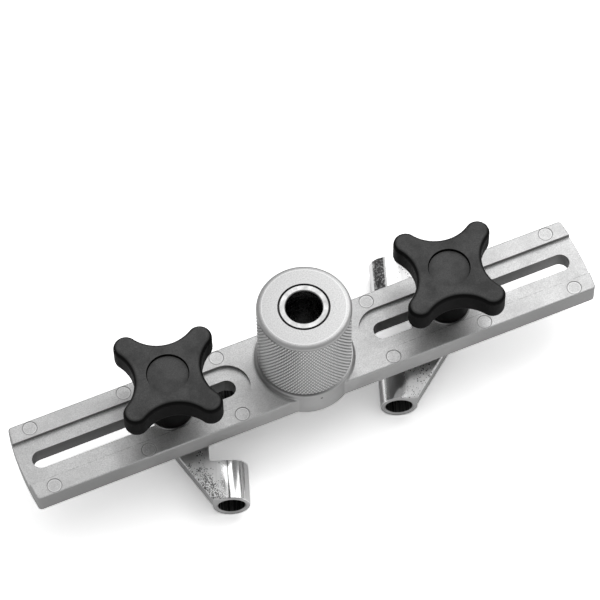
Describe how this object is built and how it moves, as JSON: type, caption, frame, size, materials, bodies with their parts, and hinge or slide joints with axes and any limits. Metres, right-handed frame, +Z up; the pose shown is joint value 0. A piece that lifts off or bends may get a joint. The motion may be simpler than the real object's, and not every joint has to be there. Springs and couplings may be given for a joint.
{
  "type": "center drill guide",
  "caption": "Self-centring drill guide: slotted cast bar with a knurled drum and drill bush in its middle, forked swivelling arms below and star knobs that clamp them.",
  "frame": {"origin": "on the floor under the axis of the drill bush; the arms' bosses rest on the floor", "axes": "+X along the bar to the side whose knob stands further out, +Z up along the drill axis"},
  "size_m": [0.3, 0.1008, 0.0894],
  "materials": {
    "cast_bar": "satin as-cast, fine grain",
    "drum": "satin, diamond knurled",
    "bush": "ground and bright",
    "plated_arm": "bright plated casting with rough patches",
    "stud": "zinc-plated screw",
    "washer": "zinc-plated",
    "knob": "black, fine matte grain",
    "insert": "turned",
    "knob_cap": "black, fine matte grain"
  },
  "bodies": {
    "frame": {"bar": "cast_bar"},
    "drum_lift": {"guide_bush": "bush"},
    "drum": {"guide_drum": "drum"},
    "left_carriage": {"left_stud": "stud"},
    "left_fork": {"left_arm": "plated_arm"},
    "left_clamp": {"left_washer": "washer"},
    "left_grip": {"left_knob": "knob", "left_knob_insert": "insert", "left_knob_cap": "knob_cap"},
    "right_carriage": {"right_stud": "stud"},
    "right_fork": {"right_arm": "plated_arm"},
    "right_clamp": {"right_washer": "washer"},
    "right_grip": {"right_knob": "knob", "right_knob_insert": "insert", "right_knob_cap": "knob_cap"}
  },
  "joints": [
    {"name": "drum_rise", "type": "slide", "parent": "frame", "child": "drum_lift", "axis": [0, 0, 1], "range_m": [0, 0.01201]},
    {"name": "drum_turn", "type": "hinge", "parent": "drum_lift", "child": "drum", "pos_m": [0, 0, 0.0432], "axis": [0, 0, 1], "range_deg": [0, 2880]},
    {"name": "left_slide", "type": "slide", "parent": "frame", "child": "left_carriage", "axis": [1, 0, 0], "range_m": [-0.0665, 0.0159]},
    {"name": "left_swivel", "type": "hinge", "parent": "left_carriage", "child": "left_fork", "pos_m": [-0.0711, 0, 0.0267], "axis": [0, 0, 1], "continuous": true},
    {"name": "left_knob_rise", "type": "slide", "parent": "left_carriage", "child": "left_clamp", "axis": [0, 0, 1], "range_m": [0, 0.00501]},
    {"name": "left_knob_turn", "type": "hinge", "parent": "left_clamp", "child": "left_grip", "pos_m": [-0.0711, 0, 0.0366], "axis": [0, 0, 1], "range_deg": [0, 1440]},
    {"name": "right_slide", "type": "slide", "parent": "frame", "child": "right_carriage", "axis": [1, 0, 0], "range_m": [-0.0216, 0.0608]},
    {"name": "right_swivel", "type": "hinge", "parent": "right_carriage", "child": "right_fork", "pos_m": [0.0768, 0, 0.0267], "axis": [0, 0, 1], "continuous": true},
    {"name": "right_knob_rise", "type": "slide", "parent": "right_carriage", "child": "right_clamp", "axis": [0, 0, 1], "range_m": [0, 0.00501]},
    {"name": "right_knob_turn", "type": "hinge", "parent": "right_clamp", "child": "right_grip", "pos_m": [0.0768, 0, 0.0366], "axis": [0, 0, 1], "range_deg": [0, 1440]}
  ],
  "couplings": [
    {"joint": "drum_rise", "follows": "drum_turn", "m_per_rad": 0.00023873},
    {"joint": "left_knob_rise", "follows": "left_knob_turn", "m_per_rad": 0.00019894},
    {"joint": "right_knob_rise", "follows": "right_knob_turn", "m_per_rad": 0.00019894}
  ]
}
